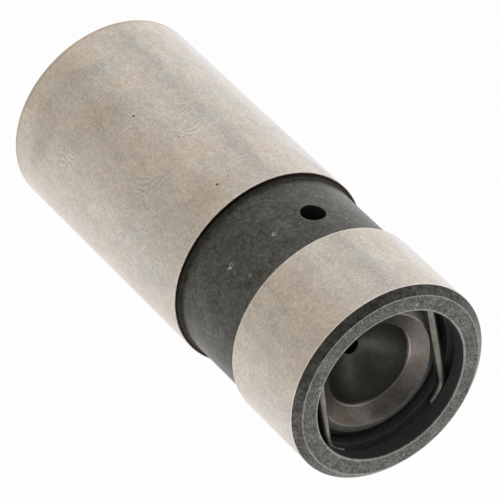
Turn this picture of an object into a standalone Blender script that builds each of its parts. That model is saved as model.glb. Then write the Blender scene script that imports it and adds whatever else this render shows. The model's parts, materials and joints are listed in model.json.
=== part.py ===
"""Flat-foot hydraulic valve lifter for a pushrod engine, with every inner piece.

The lifter stands on its cam foot at z = 0 with its open end up, and +Z is its axis.
Inside the body, from the bottom up: a return spring pushes the plunger up; a stamped
cage under the plunger holds the check ball and its small spring; a metering disc and
the pushrod seat sit in the plunger's top; a bent wire ring in the body's groove keeps
them all in.
"""

import math

import bmesh
import bpy
from mathutils import Vector

MM = 0.001

# Facets of the round pieces
ROUND_STEPS = 64
CAGE_STEPS = 36
DISC_STEPS = 48
BALL_STEPS = 24
DRILL_STEPS = 24
SOCKET_STEPS = 9
FILLET_STEPS = 4
CORNER_STEPS = 3
RING_BOW_STEPS = 5
RING_BEND_STEPS = 6
RING_TIP_STEPS = 2
SPRING_STEPS_PER_TURN = 20
BALL_SPRING_STEPS_PER_TURN = 14
WIRE_ROUND_STEPS = 2
SHARP_ANGLE = math.radians(28)

# Body, outside
body_radius = 10.693 * MM
body_length = 51.78 * MM
foot_chamfer = 0.30 * MM
rim_chamfer_width = 0.763 * MM
rim_chamfer_height = 0.71 * MM
short_land_length = 10.35 * MM
oil_band_length = 10.35 * MM
oil_band_depth = 0.51 * MM
oil_band_fillet = 0.40 * MM
oil_hole_radius = 1.23 * MM
oil_hole_above_band_middle = 0.87 * MM

# Body, inside
body_wall = 2.493 * MM
mouth_chamfer = 0.086 * MM
foot_thickness = 9.60 * MM
spring_shoulder_width = 1.45 * MM

# Running and resting clearances
rest_gap = 0.05 * MM
plunger_clearance = 0.05 * MM
seat_clearance = 0.25 * MM
spigot_clearance = 0.10 * MM
disc_clearance = 0.40 * MM
spring_clearance = 0.30 * MM
ball_side_clearance = 0.45 * MM
wire_clearance = 0.10 * MM
travel_stop_gap = 0.10 * MM

# Retainer ring: a wire whose two legs spread from a closed bow to two free tips
ring_depth = 2.18 * MM
ring_wire_radius = 0.50 * MM
ring_groove_depth = 1.05 * MM
ring_closed_overhang = 0.05 * MM
ring_open_overhang = 0.28 * MM
ring_bend_radius = 2.80 * MM
ring_tip_length = 0.60 * MM
ring_turn = math.radians(104.5)

# Pushrod seat
seat_flange_width = 0.90 * MM
seat_flange_thickness = 1.65 * MM
seat_flange_chamfer = 0.20 * MM
seat_boss_height = 1.02 * MM
seat_slope_width = 0.77 * MM
seat_slope_drop = 0.27 * MM
seat_edge_land = 0.12 * MM
seat_cone_width = 1.70 * MM
seat_cone_drop = 1.13 * MM
socket_depth = 3.193 * MM
socket_hole_radius = 0.84 * MM
seat_floor = 1.92 * MM

# Metering disc
disc_thickness = 0.50 * MM
disc_hole_radius = 0.50 * MM

# Plunger
plunger_travel = 3.80 * MM
plunger_rim_width = 2.55 * MM
plunger_ledge_width = 1.20 * MM
plunger_groove_depth = 0.65 * MM
plunger_groove_margin = 0.45 * MM
plunger_feed_hole_radius = 0.80 * MM
plunger_floor = 3.00 * MM
plunger_top_chamfer = 0.30 * MM
plunger_foot_chamfer = 0.50 * MM
check_hole_radius = 1.30 * MM
check_seat_depth = 0.45 * MM

# Check ball, its cage and its spring
ball_radius = 1.985 * MM
cage_metal = 0.45 * MM
cage_corner_radius = 0.50 * MM
cage_height = 4.80 * MM
cage_vent_radius = 0.60 * MM
cage_windows = 3
cage_window_width = 1.60 * MM
cage_window_height = 2.20 * MM
ball_spring_wire_radius = 0.15 * MM
ball_spring_radius = 1.00 * MM
ball_spring_turns = 3.5
ball_spring_closed_turns = 0.5

# Plunger spring
spring_wire_radius = 0.55 * MM
spring_length = 10.80 * MM
spring_turns = 5.5
spring_closed_turns = 0.75

# Radii that follow from the body's wall inwards
bore_radius = body_radius - body_wall
band_radius = body_radius - oil_band_depth
groove_radius = bore_radius + ring_groove_depth
pocket_radius = bore_radius - spring_shoulder_width
plunger_radius = bore_radius - plunger_clearance
counterbore_radius = plunger_radius - plunger_rim_width
reservoir_radius = counterbore_radius - plunger_ledge_width
seat_flange_radius = bore_radius - seat_clearance
seat_boss_radius = seat_flange_radius - seat_flange_width
seat_edge_radius = seat_boss_radius - seat_slope_width
socket_mouth_radius = seat_edge_radius - seat_cone_width
spring_outer_radius = pocket_radius - spring_clearance

# Heights that follow from the foot and from the rim
ring_height = body_length - ring_depth
band_top = body_length - rim_chamfer_height - short_land_length
band_bottom = band_top - oil_band_length
oil_hole_height = (band_top + band_bottom) / 2 + oil_hole_above_band_middle
seat_top = ring_height - ring_wire_radius - rest_gap
seat_flange_underside = seat_top - seat_boss_height - seat_flange_thickness
socket_sphere_radius = (socket_mouth_radius**2 + socket_depth**2) / (2 * socket_depth)
socket_centre = -seat_cone_drop - socket_depth + socket_sphere_radius
socket_bottom = socket_centre - math.sqrt(socket_sphere_radius**2 - socket_hole_radius**2)
seat_underside = seat_top + socket_bottom - seat_floor
disc_bottom = seat_underside - rest_gap - disc_thickness
plunger_top = seat_flange_underside - rest_gap
plunger_bottom = foot_thickness + spring_length + 2 * rest_gap
plunger_ledge = disc_bottom - rest_gap
shoulder_height = plunger_bottom - plunger_travel - travel_stop_gap
cage_top = plunger_bottom - rest_gap
ball_height = plunger_bottom + check_hole_radius + check_seat_depth - (ball_radius + rest_gap) * math.sqrt(2)
cage_inner_floor = cage_top - cage_height + cage_metal


def start_empty():
    """Clear the scene and return one collection for the parts and one for the cutters."""
    for obj in list(bpy.data.objects):
        bpy.data.objects.remove(obj)
    collections = []
    for name in ("hydraulic_valve_lifter", "cutters"):
        collection = bpy.data.collections.new(name)
        bpy.context.scene.collection.children.link(collection)
        collections.append(collection)
    return collections


def steel(name, colour, roughness, metallic=1.0):
    """A plain metal finish."""
    material = bpy.data.materials.new(name)
    material.use_nodes = True
    shader = material.node_tree.nodes["Principled BSDF"]
    shader.inputs["Base Color"].default_value = (*colour, 1)
    shader.inputs["Roughness"].default_value = roughness
    shader.inputs["Metallic"].default_value = metallic
    return material


def arc(centre, radius, start, end, steps):
    """Points on a circle in the (radius, height) plane, angles in degrees, both ends included."""
    points = []
    for step in range(steps + 1):
        angle = math.radians(start + (end - start) * step / steps)
        points.append((centre[0] + radius * math.cos(angle), centre[1] + radius * math.sin(angle)))
    return points


def add_object(name, data, collection, material=None):
    """Link an object under its name and give it its finish."""
    obj = bpy.data.objects.new(name, data)
    collection.objects.link(obj)
    if material:
        data.materials.append(material)
    return obj


def turned(name, outline, collection, material=None, steps=ROUND_STEPS, closed=True):
    """Turn an outline of (radius, height) points about Z with a Screw modifier."""
    last = len(outline) - 1
    edges = [(i, i + 1) for i in range(last)]
    if closed:
        edges.append((last, 0))
    mesh = bpy.data.meshes.new(name)
    mesh.from_pydata([(radius, 0, height) for radius, height in outline], edges, [])
    obj = add_object(name, mesh, collection, material)
    screw = obj.modifiers.new("turn", "SCREW")
    screw.angle = math.tau
    screw.steps = steps
    screw.render_steps = steps
    screw.use_merge_vertices = True
    screw.merge_threshold = 0.000001
    return obj


def as_cutter(obj):
    """Show a cutter as a wire cage that never renders."""
    obj.display_type = "WIRE"
    obj.hide_render = True
    return obj


def drill(name, radius, start, end, collection):
    """A cylinder from one point to another, used as a drill."""
    start = Vector(start)
    along = Vector(end) - start
    mesh = bpy.data.meshes.new(name)
    work = bmesh.new()
    bmesh.ops.create_cone(
        work, cap_ends=True, segments=DRILL_STEPS, radius1=radius, radius2=radius, depth=along.length
    )
    work.to_mesh(mesh)
    work.free()
    obj = add_object(name, mesh, collection)
    obj.location = start + along / 2
    obj.rotation_euler = along.to_track_quat("Z", "Y").to_euler()
    return as_cutter(obj)


def cut(obj, cutter):
    """Take a cutter's shape out of an object."""
    boolean = obj.modifiers.new(cutter.name, "BOOLEAN")
    boolean.operation = "DIFFERENCE"
    boolean.solver = "EXACT"
    boolean.object = cutter


def settle(obj):
    """Turn an object's modifiers into its mesh, shaded smooth up to its sharp edges."""
    bpy.context.view_layer.update()
    evaluated = obj.evaluated_get(bpy.context.evaluated_depsgraph_get())
    mesh = bpy.data.meshes.new_from_object(evaluated)
    mesh.name = obj.name
    obj.modifiers.clear()
    obj.data = mesh
    mesh.shade_smooth()
    mesh.set_sharp_from_angle(angle=SHARP_ANGLE)
    return obj


def wire(name, points, wire_radius, collection, material):
    """A round wire along a list of points, with capped ends."""
    curve = bpy.data.curves.new(name, "CURVE")
    curve.dimensions = "3D"
    curve.bevel_depth = wire_radius
    curve.bevel_resolution = WIRE_ROUND_STEPS
    curve.use_fill_caps = True
    spline = curve.splines.new("POLY")
    spline.points.add(len(points) - 1)
    for spline_point, point in zip(spline.points, points):
        spline_point.co = (*point, 1)
    spline.use_smooth = True
    return add_object(name, curve, collection, material)


def coil_points(radius, length, turns, closed_turns, closed_pitch, steps_per_turn):
    """Points of a coil whose end turns lie close and whose middle turns share the rest."""
    middle_turns = turns - 2 * closed_turns
    middle_pitch = (length - 2 * closed_turns * closed_pitch) / middle_turns
    points = []
    steps = round(turns * steps_per_turn)
    for step in range(steps + 1):
        turn = turns * step / steps
        low = min(turn, closed_turns)
        middle = min(max(turn - closed_turns, 0), middle_turns)
        high = max(turn - closed_turns - middle_turns, 0)
        height = (low + high) * closed_pitch + middle * middle_pitch
        angle = math.tau * turn
        points.append((radius * math.cos(angle), radius * math.sin(angle), height))
    return points


def oil_band_outline():
    """Outline of the oil band down the body's side: a filleted step in and a filleted step out."""
    fillet = min(oil_band_fillet, oil_band_depth, oil_band_length / 3)
    upper = (band_radius + fillet, band_top - fillet)
    lower = (band_radius + fillet, band_bottom + fillet)
    outline = [(body_radius, band_top)]
    outline += arc(upper, fillet, 90, 180, FILLET_STEPS)
    outline += arc(lower, fillet, 180, 270, FILLET_STEPS)
    outline.append((body_radius, band_bottom))
    return outline


def make_body(parts, cutters, material):
    """The tappet body: a thick cup with a flat cam foot, two lands and an oil band."""
    groove_half = ring_wire_radius + wire_clearance
    outline = [
        (0, foot_thickness),
        (pocket_radius, foot_thickness),
        (pocket_radius, shoulder_height),
        (bore_radius, shoulder_height),
        (bore_radius, ring_height - groove_half),
        (groove_radius, ring_height - groove_half),
        (groove_radius, ring_height + groove_half),
        (bore_radius, ring_height + groove_half),
        (bore_radius, body_length - mouth_chamfer),
        (bore_radius + mouth_chamfer, body_length),
        (body_radius - rim_chamfer_width, body_length),
        (body_radius, body_length - rim_chamfer_height),
    ]
    outline += oil_band_outline()
    outline += [(body_radius, foot_chamfer), (body_radius - foot_chamfer, 0), (0, 0)]
    body = turned("lifter_body", outline, parts, material, closed=False)
    oil_hole = drill(
        "oil_hole",
        oil_hole_radius,
        (0, -body_radius - rest_gap, oil_hole_height),
        (0, -bore_radius / 2, oil_hole_height),
        cutters,
    )
    cut(body, oil_hole)
    return settle(body)


def ring_corner(bow, leg):
    """One corner of the ring: its bend's centre and the angle in degrees at which it meets the bow."""
    across = leg - ring_bend_radius
    along = math.sqrt((bow - ring_bend_radius) ** 2 - across**2)
    return (along, across), math.degrees(math.atan2(across, along))


def make_ring(parts, material):
    """The retainer ring: two legs over the seat, a closed bow in the groove and two free tips.

    It is drawn flat with its tips towards +X and turned to where they face.
    """
    bow = groove_radius - wire_clearance - ring_wire_radius
    closed_bend, closed_turn = ring_corner(bow, seat_edge_radius + ring_closed_overhang)
    open_bend, open_turn = ring_corner(bow, seat_edge_radius + ring_open_overhang)
    tip_turn = open_turn - math.degrees(ring_tip_length / bow)
    closed_end = arc((0, 0), bow, 0, closed_turn, RING_BOW_STEPS)[:-1]
    closed_end += arc(closed_bend, ring_bend_radius, closed_turn, 90, RING_BEND_STEPS)
    open_end = arc(open_bend, ring_bend_radius, 90, open_turn, RING_BEND_STEPS)
    open_end += arc((0, 0), bow, open_turn, tip_turn, RING_TIP_STEPS)[1:]
    side = [(-along, across) for along, across in closed_end] + open_end
    outline = [(along, -across) for along, across in reversed(side)] + side[1:]
    points = [(along, across, 0) for along, across in outline]
    ring = wire("retainer_ring", points, ring_wire_radius, parts, material)
    ring.location = (0, 0, ring_height)
    ring.rotation_euler = (0, 0, ring_turn)
    return ring


def make_seat(parts, material):
    """The pushrod seat: a ball socket with an oil hole, a flange and a spigot.

    Its heights run down from its top edge, where the ring's legs bear.
    """
    spigot_radius = counterbore_radius - spigot_clearance
    flange_top = -seat_boss_height
    flange_underside = seat_flange_underside - seat_top
    underside = seat_underside - seat_top
    hole_angle = math.degrees(math.atan2(socket_bottom - socket_centre, socket_hole_radius))
    mouth_angle = math.degrees(math.atan2(-seat_cone_drop - socket_centre, socket_mouth_radius))
    outline = [
        (seat_edge_radius - seat_edge_land, 0),
        (seat_edge_radius, 0),
        (seat_boss_radius, -seat_slope_drop),
        (seat_boss_radius, flange_top),
        (seat_flange_radius - seat_flange_chamfer, flange_top),
        (seat_flange_radius, flange_top - seat_flange_chamfer),
        (seat_flange_radius, flange_underside),
        (spigot_radius, flange_underside),
        (spigot_radius, underside),
        (socket_hole_radius, underside),
    ]
    outline += arc((0, socket_centre), socket_sphere_radius, hole_angle, mouth_angle, SOCKET_STEPS)
    seat = turned("pushrod_seat", outline, parts, material)
    return settle(seat)


def make_disc(parts, material):
    """The metering disc: a thin valve plate on the plunger's ledge."""
    radius = counterbore_radius - disc_clearance
    outline = [
        (radius, disc_thickness),
        (radius, 0),
        (disc_hole_radius, 0),
        (disc_hole_radius, disc_thickness),
    ]
    return settle(turned("metering_disc", outline, parts, material, steps=DISC_STEPS))


def make_plunger(parts, cutters, material):
    """The plunger: an oil reservoir with a feed groove outside and a check seat below.

    Its heights run up from its lower face.
    """
    top = plunger_top - plunger_bottom
    ledge = plunger_ledge - plunger_bottom
    groove_top = oil_hole_height + oil_hole_radius + plunger_travel + plunger_groove_margin - plunger_bottom
    groove_bottom = oil_hole_height - oil_hole_radius - plunger_groove_margin - plunger_bottom
    groove_floor = plunger_radius - plunger_groove_depth
    outline = [
        (plunger_radius - plunger_top_chamfer, top),
        (plunger_radius, top - plunger_top_chamfer),
        (plunger_radius, groove_top),
        (groove_floor, groove_top - plunger_groove_depth),
        (groove_floor, groove_bottom + plunger_groove_depth),
        (plunger_radius, groove_bottom),
        (plunger_radius, plunger_foot_chamfer),
        (plunger_radius - plunger_foot_chamfer, 0),
        (check_hole_radius + check_seat_depth, 0),
        (check_hole_radius, check_seat_depth),
        (check_hole_radius, plunger_floor - check_seat_depth),
        (reservoir_radius, plunger_floor),
        (reservoir_radius, ledge),
        (counterbore_radius, ledge),
        (counterbore_radius, top),
    ]
    plunger = turned("plunger", outline, parts, material)
    feed_height = (groove_top + groove_bottom) / 2
    feed = drill(
        "plunger_feed_hole",
        plunger_feed_hole_radius,
        (0, 0, feed_height),
        (0, bore_radius, feed_height),
        cutters,
    )
    cut(plunger, feed)
    return settle(plunger)


def make_cage(parts, cutters, material):
    """The check valve cage: a stamped hat with oil windows, its brim under the plunger.

    The outline is the middle of the sheet, and its heights run down from the brim's top.
    """
    hat_radius = ball_radius + ball_side_clearance + cage_metal / 2
    brim = -cage_metal / 2
    crown = -cage_height + cage_metal / 2
    corner = cage_corner_radius
    outline = [(spring_outer_radius, brim)]
    outline += arc((hat_radius + corner, brim - corner), corner, 90, 180, CORNER_STEPS)
    outline += arc((hat_radius - corner, crown + corner), corner, 0, -90, CORNER_STEPS)
    outline.append((cage_vent_radius, crown))
    cage = turned("check_valve_cage", outline, parts, material, steps=CAGE_STEPS, closed=False)
    sheet = cage.modifiers.new("sheet", "SOLIDIFY")
    sheet.thickness = cage_metal
    sheet.offset = 0
    sheet.use_even_offset = True
    window_middle = (brim + crown) / 2
    window_distance = 1.5 * hat_radius
    for index in range(cage_windows):
        angle = math.tau * (index + 0.5) / cage_windows
        mesh = bpy.data.meshes.new("cage_window")
        work = bmesh.new()
        bmesh.ops.create_cube(work, size=1)
        bmesh.ops.scale(work, vec=(2 * hat_radius, cage_window_width, cage_window_height), verts=work.verts)
        work.to_mesh(mesh)
        work.free()
        window = as_cutter(add_object(f"cage_window_{index + 1}", mesh, cutters))
        across = window_distance * math.cos(angle)
        along = window_distance * math.sin(angle)
        window.location = (across, along, window_middle)
        window.rotation_euler = (0, 0, angle)
        cut(cage, window)
    return settle(cage)


def make_ball(parts, material):
    """The check ball."""
    mesh = bpy.data.meshes.new("check_ball")
    work = bmesh.new()
    bmesh.ops.create_uvsphere(work, u_segments=BALL_STEPS, v_segments=BALL_STEPS * 2 // 3, radius=ball_radius)
    work.to_mesh(mesh)
    work.free()
    ball = add_object("check_ball", mesh, parts, material)
    return settle(ball)


def make_ball_spring(parts, material):
    """The light spring that holds the ball on its seat, its heights up from the cage's crown."""
    ball_underside = ball_height - math.sqrt(ball_radius**2 - ball_spring_radius**2)
    length = ball_underside - cage_inner_floor - 2 * (rest_gap + ball_spring_wire_radius)
    points = coil_points(
        ball_spring_radius,
        length,
        ball_spring_turns,
        ball_spring_closed_turns,
        2 * ball_spring_wire_radius + rest_gap,
        BALL_SPRING_STEPS_PER_TURN,
    )
    return wire("check_ball_spring", points, ball_spring_wire_radius, parts, material)


def make_plunger_spring(parts, material):
    """The return spring between the body's floor and the cage's brim, its heights up from the floor."""
    brim_underside = cage_top - cage_metal
    length = brim_underside - foot_thickness - 2 * (rest_gap + spring_wire_radius)
    points = coil_points(
        spring_outer_radius - spring_wire_radius,
        length,
        spring_turns,
        spring_closed_turns,
        2 * spring_wire_radius + rest_gap,
        SPRING_STEPS_PER_TURN,
    )
    return wire("plunger_spring", points, spring_wire_radius, parts, material)


def stand_on(obj, height, parent=None):
    """Put an object's origin at a height on the lifter's axis, riding on its parent."""
    obj.location.z = height
    if parent:
        obj.parent = parent
        obj.location.z = height - parent.location.z


def main():
    parts, cutters = start_empty()
    ground_iron = steel("ground_iron", (0.62, 0.59, 0.55), 0.38)
    hardened_steel = steel("hardened_steel", (0.36, 0.34, 0.32), 0.35)
    bright_steel = steel("bright_steel", (0.60, 0.60, 0.61), 0.22)
    spring_steel = steel("spring_steel", (0.42, 0.40, 0.38), 0.30)

    make_body(parts, cutters, ground_iron)
    make_ring(parts, spring_steel)
    stand_on(make_plunger_spring(parts, spring_steel), foot_thickness + rest_gap + spring_wire_radius)

    plunger_slide = bpy.data.objects.new("plunger_slide", None)
    parts.objects.link(plunger_slide)
    stand_on(plunger_slide, plunger_bottom)
    stand_on(make_plunger(parts, cutters, bright_steel), plunger_bottom, plunger_slide)
    stand_on(make_seat(parts, hardened_steel), seat_top, plunger_slide)
    stand_on(make_disc(parts, bright_steel), disc_bottom, plunger_slide)
    stand_on(make_cage(parts, cutters, bright_steel), cage_top, plunger_slide)
    stand_on(
        make_ball_spring(parts, spring_steel),
        cage_inner_floor + rest_gap + ball_spring_wire_radius,
        plunger_slide,
    )
    stand_on(make_ball(parts, bright_steel), ball_height, plunger_slide)


main()
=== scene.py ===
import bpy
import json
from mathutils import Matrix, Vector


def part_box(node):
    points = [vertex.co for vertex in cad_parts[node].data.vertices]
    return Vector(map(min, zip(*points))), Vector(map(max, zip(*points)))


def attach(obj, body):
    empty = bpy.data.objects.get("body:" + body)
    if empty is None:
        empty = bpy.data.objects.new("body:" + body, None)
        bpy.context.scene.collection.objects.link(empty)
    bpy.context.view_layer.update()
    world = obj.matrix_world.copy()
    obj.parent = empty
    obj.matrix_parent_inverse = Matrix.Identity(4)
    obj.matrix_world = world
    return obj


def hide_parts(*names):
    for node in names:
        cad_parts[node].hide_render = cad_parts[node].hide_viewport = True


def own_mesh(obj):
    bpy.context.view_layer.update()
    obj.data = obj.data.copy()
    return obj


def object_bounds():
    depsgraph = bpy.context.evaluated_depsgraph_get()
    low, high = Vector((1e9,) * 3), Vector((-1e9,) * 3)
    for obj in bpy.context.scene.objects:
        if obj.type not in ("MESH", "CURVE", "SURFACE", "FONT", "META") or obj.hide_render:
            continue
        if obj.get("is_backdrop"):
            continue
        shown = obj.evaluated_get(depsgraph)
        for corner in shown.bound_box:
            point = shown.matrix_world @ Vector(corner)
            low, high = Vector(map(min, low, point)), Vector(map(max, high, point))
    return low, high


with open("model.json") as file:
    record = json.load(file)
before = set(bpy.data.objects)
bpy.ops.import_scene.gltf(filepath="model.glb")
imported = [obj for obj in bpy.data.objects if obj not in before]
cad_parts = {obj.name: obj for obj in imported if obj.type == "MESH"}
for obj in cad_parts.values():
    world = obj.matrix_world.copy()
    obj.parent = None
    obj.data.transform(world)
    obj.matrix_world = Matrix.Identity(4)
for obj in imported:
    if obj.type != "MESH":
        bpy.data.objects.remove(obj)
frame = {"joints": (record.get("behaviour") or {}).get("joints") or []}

# Looks of the hydraulic valve lifter: every piece turned, wound or stamped finely, with its own finish.
# The lifter stands on its cam foot at z = 0, its open end is up, and its oil hole faces -Y.
import inspect
import json
import math
from collections import namedtuple

import bmesh
import bpy
from mathutils import Matrix, Vector

MM = 0.001
cad_low, cad_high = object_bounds()

# Fineness of the meshes
TURN_STEPS = 256
SMALL_TURN_STEPS = 128
EDGE_STEPS = 4
SOCKET_STEPS = 24
BAND_RING_PITCH = 0.35 * MM
WIRE_SIDES = 24
SPRING_STEPS = 64
RING_STEPS = 24
SHARP_ANGLE = math.radians(28)

# Sizes read from the frame
body_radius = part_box("lifter_body")[1].x
body_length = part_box("lifter_body")[1].z
ring_low, ring_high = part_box("retainer_ring")
ring_height = (ring_low.z + ring_high.z) / 2
ring_wire_radius = (ring_high.z - ring_low.z) / 2
seat_low, seat_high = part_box("pushrod_seat")
seat_flange_radius = seat_high.x
seat_top = seat_high.z
seat_underside = seat_low.z
disc_low, disc_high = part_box("metering_disc")
plunger_low, plunger_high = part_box("plunger")
cage_low, cage_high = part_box("check_valve_cage")
ball_low, ball_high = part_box("check_ball")

# Body
foot_chamfer = 0.30 * MM
rim_chamfer_width = 0.763 * MM
rim_chamfer_height = 0.71 * MM
short_land_length = 10.35 * MM
oil_band_length = 10.35 * MM
oil_band_depth = 0.51 * MM
oil_band_fillet = 0.40 * MM
oil_hole_radius = 1.23 * MM
oil_hole_above_band_middle = 0.87 * MM
oil_hole_flare = 0.05 * MM
oil_hole_flare_depth = 0.25 * MM
drill_start_gap = 0.02 * MM
drill_neck = 0.01 * MM
body_wall = 2.493 * MM
mouth_chamfer = 0.086 * MM
foot_thickness = 9.60 * MM
spring_shoulder_width = 1.45 * MM
shoulder_height = 16.60 * MM
groove_half = ring_wire_radius + 0.10 * MM
groove_depth = 1.05 * MM
land_edge_round = 0.07 * MM
rim_edge_round = 0.08 * MM
inner_edge_round = 0.05 * MM
floor_round = 0.60 * MM

# Retainer ring
ring_closed_overhang = 0.05 * MM
ring_open_overhang = 0.28 * MM
ring_bend_radius = 2.80 * MM
ring_tip_length = 0.60 * MM
ring_turn = math.radians(104.5)
ring_groove_clearance = 0.10 * MM
ring_end_round = 0.15 * MM

# Pushrod seat
seat_flange_width = 0.90 * MM
seat_flange_thickness = 1.65 * MM
seat_flange_chamfer = 0.20 * MM
seat_boss_height = 1.02 * MM
seat_slope_width = 0.77 * MM
seat_slope_drop = 0.27 * MM
seat_edge_land = 0.12 * MM
seat_cone_width = 1.70 * MM
seat_cone_drop = 1.13 * MM
socket_depth = 3.193 * MM
socket_hole_radius = 0.84 * MM
seat_boss_round = 0.06 * MM
spigot_round = 0.08 * MM

# Metering disc, plunger, check valve
disc_hole_radius = 0.50 * MM
plunger_rim_width = 2.55 * MM
plunger_ledge_width = 1.20 * MM
plunger_groove_depth = 0.65 * MM
plunger_groove_margin = 0.45 * MM
plunger_travel = 3.80 * MM
plunger_feed_hole_radius = 0.80 * MM
plunger_floor = 3.00 * MM
plunger_top_chamfer = 0.30 * MM
plunger_foot_chamfer = 0.50 * MM
plunger_groove_round = 0.15 * MM
plunger_floor_round = 0.30 * MM
check_hole_radius = 1.30 * MM
check_seat_depth = 0.45 * MM
rest_gap = 0.05 * MM
edge_round = 0.05 * MM
fine_edge_round = 0.03 * MM
ground_edge_round = 0.04 * MM
spigot_clearance = 0.10 * MM
cage_metal = 0.45 * MM
cage_corner_radius = 0.50 * MM
cage_edge_round = 0.10 * MM
cage_vent_radius = 0.60 * MM
cage_side_clearance = 0.45 * MM
cage_windows = 3
cage_window_width = 1.60 * MM
cage_window_height = 2.20 * MM
ball_spring_wire_radius = 0.15 * MM
ball_spring_turns = 3.5
ball_spring_closed_turns = 0.5
spring_wire_radius = 0.55 * MM
spring_turns = 5.5
spring_closed_turns = 0.75

# Places that follow
bore_radius = body_radius - body_wall
band_radius = body_radius - oil_band_depth
groove_radius = bore_radius + groove_depth
pocket_radius = bore_radius - spring_shoulder_width
band_top = body_length - rim_chamfer_height - short_land_length
band_bottom = band_top - oil_band_length
oil_hole_height = (band_top + band_bottom) / 2 + oil_hole_above_band_middle
counterbore_radius = plunger_high.x - plunger_rim_width
reservoir_radius = counterbore_radius - plunger_ledge_width
seat_boss_radius = seat_flange_radius - seat_flange_width
seat_edge_radius = seat_boss_radius - seat_slope_width
socket_mouth_radius = seat_edge_radius - seat_cone_width
ball_radius = ball_high.x

# Camera, where the photograph was taken from
camera_aim = Vector((0, 0, 26.936 * MM))
camera_azimuth = math.radians(-48.85)
camera_elevation = math.radians(42.304)
camera_distance = 522.664 * MM
camera_roll = math.radians(133.827)
camera_lens = 388.646

Corner = namedtuple("Corner", "radius height finish round edge", defaults=(0, None))
SOCKET_KINDS = {float: "Float", int: "Int", tuple: "Vector", "geometry": "Geometry", "material": "Material"}
WAVE_PITCH = 0.314  # a wave texture's pitch at a scale of 1, in metres
PEAK_LEVEL = 0.78  # how high a noise rises where specks and scratches just show


# Node helpers


def tree_of(*values):
    """The node tree of the first socket among some values."""
    return next(value.id_data for value in values if isinstance(value, bpy.types.NodeSocket))


def add(tree, kind, inputs=None, **settings):
    """Add a node, set its properties, and link or fill its inputs, named or numbered."""
    node = tree.nodes.new(kind)
    for key, value in settings.items():
        setattr(node, key, value)
    for key, value in (inputs or {}).items():
        if isinstance(value, bpy.types.NodeSocket):
            tree.links.new(value, node.inputs[key])
        else:
            node.inputs[key].default_value = value
    return node


def calc(operation, *values):
    """The result of a Math node."""
    return add(tree_of(*values), "ShaderNodeMath", dict(enumerate(values)), operation=operation).outputs[0]


def times(first, second):
    return calc("MULTIPLY", first, second)


def plus(first, second):
    return calc("ADD", first, second)


def minus(first, second):
    return calc("SUBTRACT", first, second)


def vector_calc(operation, *values, output="Vector"):
    """What a Vector Math node gives: its vector or, as the output Value, its number."""
    node = add(tree_of(*values), "ShaderNodeVectorMath", dict(enumerate(values)), operation=operation)
    return node.outputs[output]


def combine(x, y, z=0.0):
    """The vector of three values."""
    return add(tree_of(x, y, z), "ShaderNodeCombineXYZ", {"X": x, "Y": y, "Z": z}).outputs["Vector"]


def split(vector):
    """The three values of a vector, as X, Y and Z."""
    return add(vector.id_data, "ShaderNodeSeparateXYZ", {"Vector": vector}).outputs


def blend(share, first, second):
    """A mix of two colours."""
    tree = tree_of(share, first, second)
    node = add(tree, "ShaderNodeMix", data_type="RGBA")
    for socket, value in ((node.inputs[0], share), (node.inputs[6], first), (node.inputs[7], second)):
        if isinstance(value, bpy.types.NodeSocket):
            tree.links.new(value, socket)
        else:
            socket.default_value = (*value, 1) if isinstance(value, tuple) else value
    return node.outputs[2]


def tinted(colour, mask, share, tint):
    """A colour that turns to a tint by up to a share where a mask is."""
    return blend(times(mask, share), colour, tint)


def ramp(value, low, high, out_low=0.0, out_high=1.0):
    """A value stretched from one range to another with soft ends."""
    inputs = {"Value": value, "From Min": low, "From Max": high, "To Min": out_low, "To Max": out_high}
    return add(tree_of(value), "ShaderNodeMapRange", inputs, interpolation_type="SMOOTHSTEP").outputs[
        "Result"
    ]


def tones(value, stops):
    """A colour that runs through a list of (value, colour) stops, for values from -1 to 1."""
    node = add(tree_of(value), "ShaderNodeValToRGB", {"Fac": calc("MULTIPLY_ADD", value, 0.5, 0.5)})
    points = node.color_ramp.elements
    while len(points) < len(stops):
        points.new(1.0)
    for point, (place, colour) in zip(points, stops):
        point.position = (place + 1) / 2
        point.color = (*colour, 1)
    return node.outputs["Color"]


def noise(vector, scale, detail, roughness=0.5):
    """Noise of about 0 to 1."""
    inputs = {"Vector": vector, "Scale": scale, "Detail": detail, "Roughness": roughness}
    return add(tree_of(vector), "ShaderNodeTexNoise", inputs).outputs["Fac"]


def peaks(height, cover, softness):
    """A mask of a noise's peaks, with the share that they take and the softness of their edges."""
    edge = minus(PEAK_LEVEL, times(cover, 0.5))
    return ramp(height, edge, plus(edge, softness))


def label(key):
    """The name of a socket, from the name of an argument."""
    return key.replace("_", " ").title()


def make_group(name, build, outputs, kind="ShaderNodeTree"):
    """A node group from a function that turns its inputs, the function's arguments, into its outputs.

    An argument without a starting value is a geometry or a material if it is named so, and else a vector.
    """
    tree = bpy.data.node_groups.new(name, kind)
    arguments = inspect.signature(build).parameters
    for key, argument in arguments.items():
        bare = argument.default is argument.empty
        socket_kind = SOCKET_KINDS.get(key, "Vector") if bare else SOCKET_KINDS[type(argument.default)]
        socket = tree.interface.new_socket(
            name=label(key), in_out="INPUT", socket_type="NodeSocket" + socket_kind
        )
        if not bare:
            socket.default_value = argument.default
    for title, socket_kind in outputs.items():
        tree.interface.new_socket(name=title, in_out="OUTPUT", socket_type="NodeSocket" + socket_kind)
    if kind == "GeometryNodeTree":
        tree.is_modifier = True
    given = tree.nodes.new("NodeGroupInput").outputs
    result = tree.nodes.new("NodeGroupOutput").inputs
    for title, value in zip(outputs, build(**{key: given[label(key)] for key in arguments})):
        tree.links.new(value, result[title])
    return tree


# Shared surface effects, as functions from a group's inputs to a list of its outputs


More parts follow.
